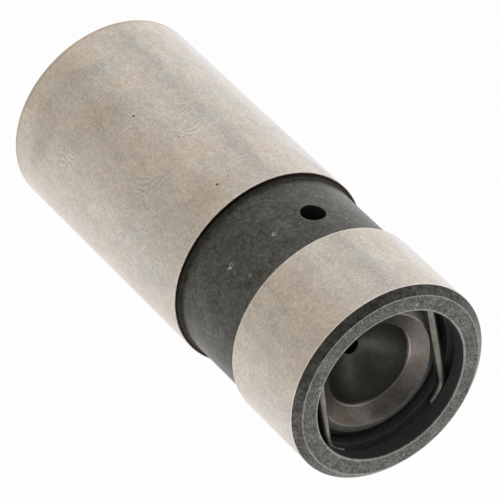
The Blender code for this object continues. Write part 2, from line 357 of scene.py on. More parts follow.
def mottling(vector, size=5 * MM, detail=3.0, contrast=0.15, fineness=0.55):
    """Soft patches, such as tarnish or uneven polish. Size is across a patch, in metres."""
    spread = noise(vector, calc("DIVIDE", 1.0, size), detail, fineness)
    return [ramp(spread, minus(0.5, contrast), plus(0.5, contrast))]


def wavy_grain(vector, pitch=0.3 * MM, swirl=8.0, swirl_size=0.3):
    """Fine ridges that swirl like a fingerprint, left by grinding. Pitch is ridge to ridge, in metres."""
    inputs = {
        "Vector": vector, "Scale": calc("DIVIDE", WAVE_PITCH, pitch), "Distortion": swirl, "Detail": 2.0
    }
    inputs.update({"Detail Scale": swirl_size, "Detail Roughness": 0.5})
    wave = add(vector.id_data, "ShaderNodeTexWave", inputs, wave_type="BANDS", bands_direction="Z")
    return [wave.outputs["Fac"]]


def tool_lines(vector, pitch=0.12 * MM):
    """Straight tool lines round the axis, along a side and across a face. Pitch is across one, in metres."""
    parts = split(vector)
    square = plus(times(parts["X"], parts["X"]), times(parts["Y"], parts["Y"]))
    lines = []
    for place in (parts["Z"], calc("SQRT", square)):
        inputs = {"W": calc("DIVIDE", place, pitch), "Scale": 1.0, "Detail": 2.0}
        line = add(vector.id_data, "ShaderNodeTexNoise", inputs, noise_dimensions="1D")
        lines.append(line.outputs["Fac"])
    return lines


def specks(vector, size=0.2 * MM, cover=0.1):
    """Small specks. Size is across a speck, in metres, and Cover is the share that they take."""
    return [peaks(noise(vector, calc("DIVIDE", 1.0, size), 1.0), cover, 0.06)]


def scratches(vector, turn, width=0.08 * MM, length=2.0 * MM, cover=0.1):
    """Thin straight scratches along one direction, broken into short runs."""
    inputs = {"Vector": vector, "Rotation": turn}
    turned_vector = add(vector.id_data, "ShaderNodeMapping", inputs).outputs["Vector"]
    across = calc("DIVIDE", 1.0, width)
    stretch = combine(calc("DIVIDE", 1.0, length), across, across)
    return [peaks(noise(vector_calc("MULTIPLY", turned_vector, stretch), 1.0, 1.0), cover, 0.05)]


def mark(vector, place, reach=(0.1 * MM,) * 3, core=0.5, ragged=0.0):
    """One mark, such as a pit, a stain or a nick, at a place on the piece."""
    share = vector_calc("DIVIDE", vector_calc("SUBTRACT", vector, place), reach)
    rough = noise(share, 1.6, 3.0)
    distance = vector_calc("LENGTH", share, output="Value")
    bulge = times(minus(rough, 0.5), ragged)
    return [ramp(calc("MULTIPLY_ADD", bulge, 1.6, distance), core, 1.0, 1.0, 0.0)]


def edge_strip(vector, coordinate=0.0, edge=0.0, width=0.2 * MM, breaks=0.5):
    """A worn or dirty strip along an edge at one height or radius, broken up along its length."""
    share = calc("DIVIDE", calc("ABSOLUTE", minus(coordinate, edge)), width)
    broken = times(minus(noise(vector, 1 / (0.5 * MM), 4.0), 0.5), breaks)
    return [ramp(plus(share, broken), 0.2, 1.0, 1.0, 0.0)]


MOTTLING = make_group("Mottling", mottling, {"Blend": "Float"})
WAVY_GRAIN = make_group("Wavy Grain", wavy_grain, {"Height": "Float"})
TOOL_LINES = make_group("Tool Lines", tool_lines, {"Along Side": "Float", "Across Face": "Float"})
SPECKS = make_group("Specks", specks, {"Mask": "Float"})
SCRATCHES = make_group("Scratches", scratches, {"Mask": "Float"})
MARK = make_group("Mark", mark, {"Mask": "Float"})
EDGE_STRIP = make_group("Edge Strip", edge_strip, {"Mask": "Float"})


def effect(group, vector, output=0, **inputs):
    """One output of a shared group at a place, with this material's own values for its inputs."""
    named = {label(key): value for key, value in inputs.items()}
    node = add(vector.id_data, "ShaderNodeGroup", {"Vector": vector, **named}, node_tree=group)
    return node.outputs[output]


# Finishes


def new_finish(name, metallic, roughness):
    """A material with its shader and its Object coordinates."""
    material = bpy.data.materials.new(name)
    material.use_nodes = True
    shader = material.node_tree.nodes["Principled BSDF"]
    shader.inputs["Metallic"].default_value = metallic
    shader.inputs["Roughness"].default_value = roughness
    return material, shader, material.node_tree.nodes.new("ShaderNodeTexCoord").outputs["Object"]


def feed(shader, label, value):
    """Link a value to one of a shader's inputs."""
    shader.id_data.links.new(value, shader.inputs[label])


def bump(shader, height, depth):
    """Raise the surface by a height of 0 to 1 times a depth in metres."""
    node = add(shader.id_data, "ShaderNodeBump", {"Strength": 1.0, "Distance": depth, "Height": height})
    feed(shader, "Normal", node.outputs["Normal"])


def coloured(material, shader, colour, height, depth):
    """The material, with its colour and its relief."""
    feed(shader, "Base Color", colour)
    bump(shader, height, depth)
    return material


def on_side(azimuth, height, radius):
    """The place on a round side at an azimuth in degrees and a height in millimetres."""
    angle = math.radians(azimuth)
    return (radius * math.cos(angle), radius * math.sin(angle), height * MM)


def scaled(colour, factor):
    """A colour made lighter or darker by a factor."""
    inputs = {0: colour, "Scale": factor}
    return add(tree_of(colour, factor), "ShaderNodeVectorMath", inputs, operation="SCALE").outputs["Vector"]


def uneven(colour, place, size, amount, detail=2.0, fineness=0.85):
    """A colour made lighter and darker from place to place, by up to an amount each way."""
    spread = effect(MOTTLING, place, size=size, detail=detail, contrast=0.2, fineness=fineness)
    return scaled(colour, ramp(spread, 0.0, 1.0, 1 - amount, 1 + amount))


def across_and_up(place):
    """The radius and the height of a place on a turned piece."""
    parts = split(place)
    return vector_calc("LENGTH", combine(parts["X"], parts["Y"]), output="Value"), parts["Z"]


def marked(place, marks, radius, **settings):
    """One mask of several marks on a round side, each (azimuth, height, reach) in degrees and millimetres."""
    mask = None
    for azimuth, height, *reach in marks:
        around, along = (reach * 2)[:2]
        reach = (around * MM, around * MM, along * MM)
        spot = effect(MARK, place, place=on_side(azimuth, height, radius), reach=reach, **settings)
        mask = spot if mask is None else calc("MAXIMUM", mask, spot)
    return mask


LAND_PITS = [(-57.21, 13.36, 0.15), (-65.82, 19.28, 0.09), (-68.57, 27.40, 0.10), (-61.42, 27.52, 0.15)]
LAND_EDGES = (band_bottom, band_top, body_length - rim_chamfer_height)
COOL_STAINS = [
    (-26.0, 25.2, 3.4, 4.6),
    (2.0, 25.0, 2.4, 3.4),
    (-14.0, 22.0, 3.0, 4.0),
    (-86.5, 3.8, 1.6, 2.4),
    (-86.0, 10.8, 1.5, 2.2),
    (-99.0, 14.0, 1.8, 4.0),
    (-86.4, 18.2, 1.6, 3.6),
    (-60.5, 5.0, 2.0, 1.8),
    (-37.0, 3.6, 2.0, 2.0),
    (-102.0, 8.4, 2.2, 2.4),
    (-112.0, 18.0, 2.2, 9.0),
    (-30.0, 46.2, 3.2, 3.4),
    (-95.0, 46.0, 2.2, 3.6),
]
WARM_STAINS = [
    (-62.0, 27.5, 5.0, 3.5),
    (-66.0, 22.0, 3.0, 3.6),
    (-62.0, 2.5, 4.0, 2.2),
    (-26.0, 1.5, 3.4, 1.6),
    (-70.0, 9.0, 2.8, 3.0),
    (-45.0, 10.0, 2.6, 3.2),
    (-98.0, 24.5, 2.4, 2.6),
    (-34.0, 47.0, 2.0, 2.0),
]
LAND_SHADES = [
    (-48.0, 10.0, 5.0, 5.5, 0.90),
    (-58.0, 27.5, 6.0, 4.0, 0.88),
    (-12.0, 4.4, 6.5, 3.0, 0.83),
    (-100.0, 3.0, 2.6, 2.2, 0.92),
    (-50.0, 4.2, 4.6, 2.6, 0.89),
    (-124.0, 28.8, 3.4, 3.0, 0.84),
    (-9.0, 16.0, 2.6, 5.0, 1.08),
    (-84.0, 19.5, 3.0, 3.4, 1.06),
    (-2.0, 28.0, 2.0, 3.0, 0.92),
    (-99.0, 46.0, 2.6, 2.6, 1.10),
]
RIDGED = [
    (-35.0, 20.6, 2.8, 2.0),
    (-17.0, 19.3, 1.8, 2.2),
    (-58.0, 4.6, 2.0, 1.5),
    (-54.0, 8.8, 1.6, 1.0),
    (-45.0, 13.5, 1.8, 1.6),
    (-16.0, 9.0, 2.4, 2.6),
    (-72.0, 19.0, 2.0, 3.6),
]


def shaded(colour, place, shades, radius):
    """A colour made lighter or darker in soft spots, each (azimuth, height, reach, reach, factor)."""
    for *mark, factor in shades:
        spot = marked(place, [mark], radius, core=0.0, ragged=0.6)
        colour = scaled(colour, ramp(spot, 0.0, 1.0, 1.0, factor))
    return colour


def ground_land():
    """The ground lands: satin, with warm and cool stains, a fine swirling grain and a few pits."""
    material, shader, place = new_finish("ground_land", 1.0, 0.28)
    height = across_and_up(place)[1]
    long_place = vector_calc("MULTIPLY", place, (1.0, 1.0, 0.5))
    fine_place = vector_calc("MULTIPLY", place, (0.7, 0.7, 1.3))
    crossed = vector_calc("CROSS_PRODUCT", place, (-0.66, 0.75, 0.6))
    patches = effect(MOTTLING, long_place, size=3.2 * MM, detail=1.0, contrast=0.14)
    swirls = effect(WAVY_GRAIN, place, pitch=0.42 * MM, swirl=46.0, swirl_size=0.15)
    ripples = effect(WAVY_GRAIN, crossed, pitch=0.40 * MM, swirl=40.0, swirl_size=0.17)
    turned_way = effect(MOTTLING, place, size=3.4 * MM, detail=1.0, contrast=0.08)
    strays = effect(MOTTLING, long_place, size=2.3 * MM, detail=2.0, contrast=0.16)
    ridged = marked(place, RIDGED, body_radius, core=0.0, ragged=0.8)
    shown = calc("MAXIMUM", ridged, times(strays, 0.30))
    grain = blend(turned_way, ripples, swirls)
    cool = marked(place, COOL_STAINS, body_radius, core=0.1, ragged=0.9)
    warm = marked(place, WARM_STAINS, body_radius, core=0.1, ragged=0.9)
    colour = blend(patches, (0.600, 0.552, 0.490), (0.628, 0.562, 0.490))
    colour = tinted(colour, cool, 0.55, (0.535, 0.530, 0.498))
    colour = tinted(colour, warm, 0.65, (0.650, 0.556, 0.462))
    colour = uneven(colour, long_place, 1.5 * MM, 0.055)
    colour = uneven(colour, fine_place, 0.26 * MM, 0.135, fineness=0.95)
    depth = ramp(shown, 0.0, 1.0, 0.0, 0.14)
    ridge = times(minus(0.5, grain), depth)
    colour = scaled(colour, calc("MULTIPLY_ADD", ridge, 2.0, 1.0))
    colour = shaded(colour, place, LAND_SHADES, body_radius)
    specks = effect(SPECKS, place, size=0.16 * MM, cover=0.12)
    colour = tinted(colour, specks, 0.35, (0.27, 0.235, 0.20))
    foot_tan = effect(EDGE_STRIP, place, coordinate=height, edge=foot_chamfer, width=0.55 * MM, breaks=0.8)
    colour = tinted(colour, foot_tan, 0.6, (0.52, 0.38, 0.26))
    to_edges = [calc("ABSOLUTE", minus(height, edge)) for edge in LAND_EDGES]
    to_edge = calc("MINIMUM", calc("MINIMUM", to_edges[0], to_edges[1]), to_edges[2])
    worn = effect(EDGE_STRIP, place, coordinate=to_edge, edge=0.0, width=0.24 * MM, breaks=0.8)
    colour = tinted(colour, worn, 0.7, (0.90, 0.83, 0.75))
    pits = marked(place, LAND_PITS, body_radius, ragged=0.5)
    colour = blend(pits, colour, (0.02, 0.018, 0.015))
    feed(shader, "Base Color", colour)
    feed(shader, "Roughness", ramp(patches, 0.0, 1.0, 0.26, 0.31))
    relief = minus(times(grain, shown), times(pits, 8.0))
    bump(shader, relief, 0.002 * MM)
    return material


def oxide_layers(place, colour, pale, cover, spread=0.2, grit_size=0.36 * MM):
    """The mottled tone of blackened steel, and the grit that roughens it."""
    grit = effect(MOTTLING, place, size=0.19 * MM, detail=3.0, contrast=0.2)
    tone = uneven(tuple(1.12 * v for v in colour), place, 1.4 * MM, 0.8 * spread)
    tone = uneven(tone, place, grit_size, 1.4 * spread, fineness=0.95)
    flecks = effect(SPECKS, place, size=0.17 * MM, cover=cover)
    for turn, width, length in (((0.5, 0.9, 0.3), 0.09, 1.8), ((1.1, 0.2, 2.2), 0.07, 1.2)):
        scratches = effect(SCRATCHES, place, turn=turn, width=width * MM, length=length * MM, cover=cover)
        tone = tinted(tone, scratches, 0.35, pale)
    return tinted(tone, flecks, 0.5, pale), grit


def black_oxide(name, colour, pale, cover, roughness=0.40, metallic=1.0, spread=0.2):
    """Blackened steel with pale flecks where the black has worn through."""
    material, shader, place = new_finish(name, metallic, roughness)
    tone, grit = oxide_layers(place, colour, pale, cover, spread)
    return coloured(material, shader, tone, grit, 0.004 * MM)


def bore_black(name, colour, low, high, share):
    """The dull black of the bore, lighter deep down than at the mouth."""
    material, shader, place = new_finish(name, 0.5, 0.5)
    tone, grit = oxide_layers(place, colour, tuple(1.4 * v for v in colour), 0.03, 0.08)
    height = across_and_up(place)[1]
    tone = scaled(tone, ramp(height, low, high, 1.0, share))
    return coloured(material, shader, tone, grit, 0.003 * MM)


BAND_FLECKS = [(-63.97, 36.68, 0.42, 0.34), (-34.85, 35.59, 0.60, 0.36), (-39.27, 38.28, 0.24, 0.22)]
BAND_SHADES = [
    (-69.0, 36.2, 2.2, 1.9, 1.24),
    (-79.0, 33.2, 1.2, 1.8, 1.16),
    (-104.0, 36.0, 2.2, 5.0, 1.15),
    (0.0, 36.0, 2.8, 4.6, 1.14),
    (-40.0, 38.6, 2.8, 1.6, 0.86),
    (-36.0, 32.0, 5.5, 1.6, 0.86),
    (-122.0, 35.0, 2.2, 5.0, 1.12),
]


def band_black():
    """The oil band: black oxide, with a painted highlight (a pale streak in line with the oil hole) and
    painted shade in its lower corner.
    """
    material, shader, place = new_finish("band_black", 1.0, 0.40)
    height = across_and_up(place)[1]
    colour, pale = (0.092, 0.091, 0.081), (0.30, 0.30, 0.27)
    tone, grit = oxide_layers(place, colour, pale, 0.13)
    middle = (band_top + band_bottom) / 2 / MM
    # Painted highlight: a pale streak along the axis, in line with the oil hole.
    rubbed = marked(place, [(-90.0, middle, 1.7, 7.0)], band_radius, core=0.0, ragged=0.5)
    tone = tinted(tone, rubbed, 0.16, pale)
    tone = shaded(tone, place, BAND_SHADES, band_radius)
    scuffs = marked(place, BAND_FLECKS, band_radius, core=0.2, ragged=0.9)
    specks = effect(SPECKS, place, size=0.13 * MM, cover=0.52)
    tone = tinted(tone, scuffs, specks, (0.72, 0.72, 0.65))
    line = marked(place, [(-105.2, 38.2, 0.22, 0.07)], band_radius, core=0.2)
    tone = tinted(tone, line, 0.8, (0.60, 0.58, 0.55))
    # Painted shade: the band darkened towards its lower corner, and its lower fillet darker still.
    grime = effect(EDGE_STRIP, place, coordinate=height, edge=band_bottom, width=1.35 * MM, breaks=0.7)
    tone = tinted(tone, grime, 0.62, (0.014, 0.017, 0.012))
    ledge = ramp(height, band_bottom, band_bottom + oil_band_fillet / 2, 1.0, 0.0)
    tone = tinted(tone, ledge, 0.8, (0.030, 0.016, 0.008))
    return coloured(material, shader, tone, grit, 0.004 * MM)


RIM_DINGS = [
    (-101.53, 8.89, 0.24), (-119.51, 9.09, 0.16), (-6.18, 8.28, 0.22), (4.78, 7.75, 0.2), (-15.4, 8.59, 0.2),
    (-101.0, 8.50, 0.14), (-34.2, 9.51, 0.12), (-63.4, 9.45, 0.12), (50.5, 9.49, 0.12),
]
RIM_SCUFFS = [
    (-131.0, 9.1, 0.9), (-150.0, 9.0, 0.9), (178.0, 8.9, 0.9), (-112.0, 9.2, 0.7), (60.0, 9.1, 0.8),
    (-88.0, 9.2, 0.7), (-30.0, 9.0, 0.8), (10.0, 9.1, 0.8), (130.0, 9.0, 0.8),
]


def on_rim(marks):
    """Marks on the rim's flat face, from (azimuth, radius, reach) to places and reaches in metres."""
    height = body_length / MM
    return [(on_side(azimuth, height, radius * MM), (reach * MM,) * 3) for azimuth, radius, reach in marks]


def rim_grey():
    """The rim's face: worn oxide with pale scuffs, and bright wear along both of its edges."""
    material, shader, place = new_finish("rim_grey", 1.0, 0.42)
    radius = across_and_up(place)[0]
    pale = (0.44, 0.44, 0.41)
    tone, grit = oxide_layers(place, (0.108, 0.110, 0.102), pale, 0.34, 0.26, 0.30 * MM)
    fine = effect(SPECKS, place, size=0.14 * MM, cover=0.42)
    for marks, share, over, core in ((RIM_SCUFFS, 0.75, fine, 0.0), (RIM_DINGS, 0.8, 1.0, 0.3)):
        for spot, reach in on_rim(marks):
            mask = effect(MARK, place, place=spot, reach=reach, core=core, ragged=0.9)
            tone = blend(times(times(mask, share), over), tone, pale)
    inner, outer = bore_radius + mouth_chamfer, body_radius - rim_chamfer_width
    for edge, width in ((inner, 0.17 * MM), (outer, 0.16 * MM)):
        worn = effect(EDGE_STRIP, place, coordinate=radius, edge=edge, width=width, breaks=1.4)
        tone = tinted(tone, worn, 0.7, (0.52, 0.52, 0.48))
    return coloured(material, shader, tone, grit, 0.005 * MM)


MOUTH_GLINTS = [(72.0, 48.2, 3.4, 2.0), (-170.0, 48.2, 2.6, 2.0)]
SEAT_STAINS = [
    (66.0, 48.7, 1.9, 1.2), (104.0, 48.7, 1.3, 1.2), (-112.0, 48.9, 1.5, 1.2), (170.0, 48.7, 1.0, 1.0)
]
SEAT_STAIN_RADIUS = 5.4 * MM
SEAT_SPOTS = [
    (-138.7, 3.5, 47.6, 0.20), (-170.0, 5.9, 49.5, 0.22), (150.0, 5.2, 49.0, 0.16), (64.0, 5.6, 49.2, 0.14)
]


def turned_steel(name, dark, light, roughness, line_depth, across_face=True, anisotropy=0.0, seat=False):
    """Steel from the lathe, with fine tool lines round its axis; the seat's is stained and carries painted
    highlights, pale glints on its socket's mouth edge.
    """
    material, shader, place = new_finish(name, 1.0, roughness)
    lines = effect(TOOL_LINES, place, "Across Face" if across_face else "Along Side", pitch=0.09 * MM)
    patches = effect(MOTTLING, place, size=1.8 * MM, detail=4.0, contrast=0.25)
    specks = effect(SPECKS, place, size=0.22 * MM, cover=0.03)
    colour = blend(patches, dark, light)
    colour = tinted(colour, lines, 0.3, tuple(0.6 * value for value in dark))
    colour = tinted(colour, specks, 0.6, (0.02, 0.02, 0.018))
    if seat:
        stains = marked(place, SEAT_STAINS, SEAT_STAIN_RADIUS, core=0.0, ragged=1.0)
        colour = tinted(colour, stains, 0.75, (0.175, 0.135, 0.105))
        colour = uneven(colour, place, 0.4 * MM, 0.10)
        for azimuth, radius, height, reach in SEAT_SPOTS:
            spot = marked(place, [(azimuth, height, reach)], radius * MM, core=0.2, ragged=0.8)
            colour = scaled(colour, ramp(spot, 0.0, 1.0, 1.0, 0.25))
        # Painted highlight: pale glints on the socket's mouth edge, at two azimuths only.
        near = marked(place, MOUTH_GLINTS, socket_mouth_radius, core=0.2, ragged=0.3)
        radius = across_and_up(place)[0]
        line = effect(
            EDGE_STRIP, place, coordinate=radius, edge=socket_mouth_radius, width=0.13 * MM, breaks=0.6
        )
        colour = tinted(colour, near, line, (0.66, 0.58, 0.49))
    feed(shader, "Base Color", colour)
    if anisotropy:
        shader.inputs["Anisotropic"].default_value = anisotropy
        shader.inputs["Anisotropic Rotation"].default_value = 0.25
        tangent = add(shader.id_data, "ShaderNodeTangent", direction_type="RADIAL", axis="Z")
        feed(shader, "Tangent", tangent.outputs["Tangent"])
    bump(shader, lines, line_depth)
    return material


def drawn_wire():
    """Spring wire: satin, with faint die lines and darker tarnish."""
    material, shader, place = new_finish("drawn_wire", 1.0, 0.36)
    patches = effect(MOTTLING, place, size=1.4 * MM, detail=4.0, contrast=0.2)
    grit = effect(MOTTLING, place, size=0.15 * MM, detail=2.0, contrast=0.25)
    colour = blend(patches, (0.215, 0.20, 0.18), (0.315, 0.297, 0.272))
    colour = tinted(colour, grit, 0.2, (0.25, 0.22, 0.19))
    return coloured(material, shader, colour, grit, 0.002 * MM)


def polished_edge():
    """A thin edge where the grinding or handling has left the steel bright."""
    material, shader, place = new_finish("polished_edge", 0.25, 0.50)
    breaks = effect(MOTTLING, place, size=0.6 * MM, detail=3.0, contrast=0.2)
    feed(shader, "Base Color", blend(breaks, (0.70, 0.62, 0.54), (0.97, 0.89, 0.81)))
    return material


FINISHES = [
    ground_land(),
    polished_edge(),
    band_black(),
    black_oxide("chamfer_black", (0.110, 0.108, 0.099), (0.27, 0.26, 0.24), 0.14, spread=0.26),
    rim_grey(),
    black_oxide("rim_edge", (0.26, 0.25, 0.23), (0.55, 0.53, 0.49), 0.30),
    bore_black("bore_black", (0.132, 0.150, 0.147), seat_top - seat_boss_height, body_length, 0.72),
    bore_black("groove_black", (0.158, 0.182, 0.180), 0.0, body_length, 1.0),
    bore_black("hole_black", (0.030, 0.033, 0.028), 0.0, body_length, 1.0),
    # Painted light: the seat's slope gets its own pale bluish grey and a less metallic finish, standing for
    # the light that falls on it.
    black_oxide("seat_slope", (0.27, 0.285, 0.285), (0.36, 0.37, 0.37), 0.03, 0.5, 0.4, 0.12),
    turned_steel("seat_steel", (0.21, 0.195, 0.175), (0.31, 0.285, 0.26), 0.36, 0.002 * MM, seat=True),
    turned_steel("socket_steel", (0.105, 0.11, 0.098), (0.14, 0.145, 0.13), 0.38, 0.0015 * MM,
                 anisotropy=0.85, seat=True),
    turned_steel("foot_ground", (0.46, 0.44, 0.41), (0.56, 0.53, 0.49), 0.32, 0.001 * MM),
    turned_steel("sleeve_steel", (0.50, 0.49, 0.47), (0.60, 0.59, 0.57), 0.24, 0.001 * MM, across_face=False),
    turned_steel("plate_steel", (0.50, 0.49, 0.48), (0.60, 0.59, 0.58), 0.26, 0.001 * MM),
    turned_steel("ball_steel", (0.58, 0.58, 0.58), (0.64, 0.64, 0.64), 0.10, 0.0002 * MM),
    turned_steel("cage_steel", (0.42, 0.41, 0.38), (0.52, 0.50, 0.47), 0.30, 0.001 * MM),
    drawn_wire(),
]
FINISHES = {material.name: material for material in FINISHES}


# Mesh helpers


def link(name, data):
    """An object at the origin for finished data."""
    obj = bpy.data.objects.new(name, data)
    bpy.context.scene.collection.objects.link(obj)
    return obj


def meshed(name, work, materials):
    """An object from a finished bmesh, with its materials."""
    mesh = bpy.data.meshes.new(name)
    work.to_mesh(mesh)
    work.free()
    for material in materials:
        mesh.materials.append(material)
    return link(name, mesh)


def corners(finish, *places):
    """Corners of one finish, each (radius, height) or (radius, height, round)."""
    return [Corner(radius, height, finish, *edge) for radius, height, *edge in places]


def softened(outline):
    """The outline's points with their finishes, its corners rounded to arcs that touch both sides."""
    points = []
    for index, corner in enumerate(outline):
        here = Vector((corner.radius, corner.height))
        if not corner.round:
            points.append((here.x, here.y, corner.finish))
            continue
        back = (Vector(outline[index - 1][:2]) - here).normalized()
        ahead = (Vector(outline[(index + 1) % len(outline)][:2]) - here).normalized()
        half = back.angle(ahead) / 2
        reach = corner.round / math.tan(half)
        middle = here + (back + ahead).normalized() * corner.round / math.sin(half)
        first = here + back * reach - middle
        last = here + ahead * reach - middle
        for step in range(EDGE_STEPS + 1):
            spoke = first.slerp(last, step / EDGE_STEPS).normalized() * corner.round
            finish = (corner.edge or corner.finish) if step < EDGE_STEPS else corner.finish
            points.append((middle.x + spoke.x, middle.y + spoke.y, finish))
    return points


def turned(name, outline, closed=True, steps=TURN_STEPS):
    """Turn an outline of corners about Z; each stretch has the finish of the corner it starts from."""
    points = softened(outline)
    names = list(dict.fromkeys(finish for _, _, finish in points))
    work = bmesh.new()
    rings = []
    for radius, height, _ in points:
        if radius == 0:
            rings.append([work.verts.new((0, 0, height))])
            continue
        angles = [math.tau * step / steps for step in range(steps)]
        rings.append([work.verts.new((radius * math.cos(a), radius * math.sin(a), height)) for a in angles])
    pairs = list(zip(rings, rings[1:] + rings[:1], points))
    for ring, after, point in pairs if closed else pairs[:-1]:
        for step in range(steps):
            quad = [ring[step % len(ring)], ring[(step + 1) % len(ring)]]
            quad += [after[(step + 1) % len(after)], after[step % len(after)]]
            face = work.faces.new(dict.fromkeys(quad))
            face.material_index = names.index(point[2])
    bmesh.ops.recalc_face_normals(work, faces=work.faces)
    return meshed(name, work, [FINISHES[finish] for finish in names])


def drill(radius, start, end, finish, flare=0.0):
    """A cutter from one point to another that opens by a flare at its start."""
    start = Vector(start)
    along = Vector(end) - start
    neck = oil_hole_flare_depth if flare else drill_neck
    outline = corners(
        finish, (0, 0), (radius + flare, 0), (radius, neck), (radius, along.length), (0, along.length)
    )
    cutter = turned("drill", outline, closed=False, steps=SMALL_TURN_STEPS // 2)
    cutter.data.transform(Matrix.Translation(start) @ along.to_track_quat("Z", "Y").to_matrix().to_4x4())
    return cutter


def cut(obj, cutter):
    """Cut a shape out of a piece for good; the cut faces keep the cutter's finish."""
    boolean = obj.modifiers.new("cut", "BOOLEAN")
    boolean.operation = "DIFFERENCE"
    boolean.solver = "MANIFOLD"
    boolean.material_mode = "TRANSFER"
    boolean.object = cutter
    settle(obj)
    bpy.data.objects.remove(cutter)


def plain_mesh(obj):
    """The mesh that a piece's modifiers make of it."""
    bpy.context.view_layer.update()
    mesh = bpy.data.meshes.new_from_object(obj.evaluated_get(bpy.context.evaluated_depsgraph_get()))
    mesh.name = obj.name
    return mesh


def settle(obj):
    """Turn a piece's modifiers into its plain mesh."""
    mesh = plain_mesh(obj)
    obj.modifiers.clear()
    obj.data = mesh


def shade(obj):
    """Smooth shading up to the sharp edges, with broad faces kept flat beside their rounded edges."""
    obj.data.shade_smooth()
    obj.data.set_sharp_from_angle(angle=SHARP_ANGLE)
    even = obj.modifiers.new("even_shading", "WEIGHTED_NORMAL")
    even.keep_sharp = True
    settle(obj)
    return obj


def fit(obj, body, node, slot):
    """Put a finished piece on its body, in place of its node."""
    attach(obj, body)
    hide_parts(node)


# Geometry node trees, as functions from a tree's inputs to a list of its output


def on_circle(angle, radius, height):
    """The place at an angle on a circle round Z."""
    across = times(calc("COSINE", angle), radius)
    return combine(across, times(calc("SINE", angle), radius), height)


def solid(geometry, material):
    """Real, smooth geometry with its finish, to end a tree with."""
    tree = geometry.id_data
    smooth = add(tree, "GeometryNodeSetShadeSmooth", {"Geometry": geometry})
    real = add(tree, "GeometryNodeRealizeInstances", {"Geometry": smooth.outputs["Geometry"]})
    inputs = {"Geometry": real.outputs["Geometry"], "Material": material}
    return [add(tree, "GeometryNodeSetMaterial", inputs).outputs["Geometry"]]


def wire_along(curve, radius, sides, material, scale=1.0):
    """A round wire along a curve, to end a tree with."""
    inputs = {"Resolution": sides, "Radius": radius}
    section = add(curve.id_data, "GeometryNodeCurvePrimitiveCircle", inputs).outputs["Curve"]
    inputs = {"Curve": curve, "Profile Curve": section, "Scale": scale, "Fill Caps": True}
    return solid(add(curve.id_data, "GeometryNodeCurveToMesh", inputs).outputs["Mesh"], material)


def coil_spring(
    material,
    coil_radius=5 * MM,
    length=10 * MM,
    base_height=0.0,
    turns=5.0,
    closed_turns=0.75,
    closed_pitch=1 * MM,
    wire_radius=0.5 * MM,
    steps_per_turn=48,
    wire_sides=16,
):
    """A coil spring whose end turns lie close, wound along Z from a base height."""
    tree = turns.id_data
    count = plus(times(turns, steps_per_turn), 1.0)
    line = add(tree, "GeometryNodeCurvePrimitiveLine").outputs["Curve"]
    path = add(tree, "GeometryNodeResampleCurve", {"Curve": line, "Count": count}).outputs["Curve"]
    turn = calc("DIVIDE", add(tree, "GeometryNodeInputIndex").outputs["Index"], steps_per_turn)
    both_closed = times(closed_turns, 2.0)
    middle_turns = minus(turns, both_closed)
    middle_length = minus(length, times(both_closed, closed_pitch))
    past_low = minus(turn, closed_turns)
    low = calc("MINIMUM", turn, closed_turns)
    middle = calc("MINIMUM", calc("MAXIMUM", past_low, 0.0), middle_turns)
    high = calc("MAXIMUM", minus(past_low, middle_turns), 0.0)
    ends = times(plus(low, high), closed_pitch)
    climb = plus(ends, times(middle, calc("DIVIDE", middle_length, middle_turns)))
    place = on_circle(times(turn, math.tau), coil_radius, plus(climb, base_height))
    coil_line = add(tree, "GeometryNodeSetPosition", {"Geometry": path, "Position": place})
    return wire_along(coil_line.outputs["Geometry"], wire_radius, wire_sides, material)


def bent_wire(geometry, material, wire_radius=0.5 * MM, end_round=0.2 * MM, wire_sides=16):
    """A round wire along the object's own curve, its ends rounded off."""
    along = add(geometry.id_data, "GeometryNodeSplineParameter").outputs["Length"]
    whole = add(geometry.id_data, "GeometryNodeSplineLength").outputs["Length"]
    to_end = calc("MINIMUM", along, minus(whole, along))
    rounding = minus(1.0, calc("MINIMUM", calc("DIVIDE", to_end, end_round), 1.0))
    kept = calc("SQRT", minus(1.0, calc("POWER", rounding, 2.0)))
    thin = minus(1.0, times(minus(1.0, kept), 0.5))
    return wire_along(geometry, wire_radius, wire_sides, material, thin)


def oil_windows(
    geometry, material, count=3, width=1 * MM, height=2 * MM, wall_radius=2 * MM, middle_height=0.0
):
    """Cut a ring of equal windows through the wall of a cup."""
    tree = geometry.id_data
    size = combine(times(wall_radius, 2.0), width, height)
    window = add(tree, "GeometryNodeMeshCube", {"Size": size}).outputs["Mesh"]
    line = add(tree, "GeometryNodeMeshLine", {"Count": count}).outputs["Mesh"]
    index = add(tree, "GeometryNodeInputIndex").outputs["Index"]
    angle = times(calc("DIVIDE", plus(index, 0.5), count), math.tau)
    place = on_circle(angle, times(wall_radius, 1.5), middle_height)
    points = add(tree, "GeometryNodeSetPosition", {"Geometry": line, "Position": place}).outputs["Geometry"]
    inputs = {"Points": points, "Instance": window, "Rotation": combine(0.0, 0.0, angle)}
    cutters = add(tree, "GeometryNodeInstanceOnPoints", inputs).outputs["Instances"]
    real = add(tree, "GeometryNodeRealizeInstances", {"Geometry": cutters}).outputs["Geometry"]
    inputs = {"Mesh 1": geometry, "Mesh 2": real}
    opened = add(tree, "GeometryNodeMeshBoolean", inputs, operation="DIFFERENCE", solver="MANIFOLD")
    return solid(opened.outputs["Mesh"], material)


def run_tree(obj, tree, **inputs):
    """Run a tree on an object with named inputs and return the plain mesh object that it makes."""
    modifier = obj.modifiers.new(tree.name, "NODES")
    modifier.node_group = tree
    sockets = {item.name: item.identifier for item in tree.interface.items_tree if item.in_out == "INPUT"}
    for key, value in inputs.items():
        modifier[sockets[label(key)]] = value
    name, mesh = obj.name, plain_mesh(obj)
    bpy.data.objects.remove(obj)
    return link(name, mesh)


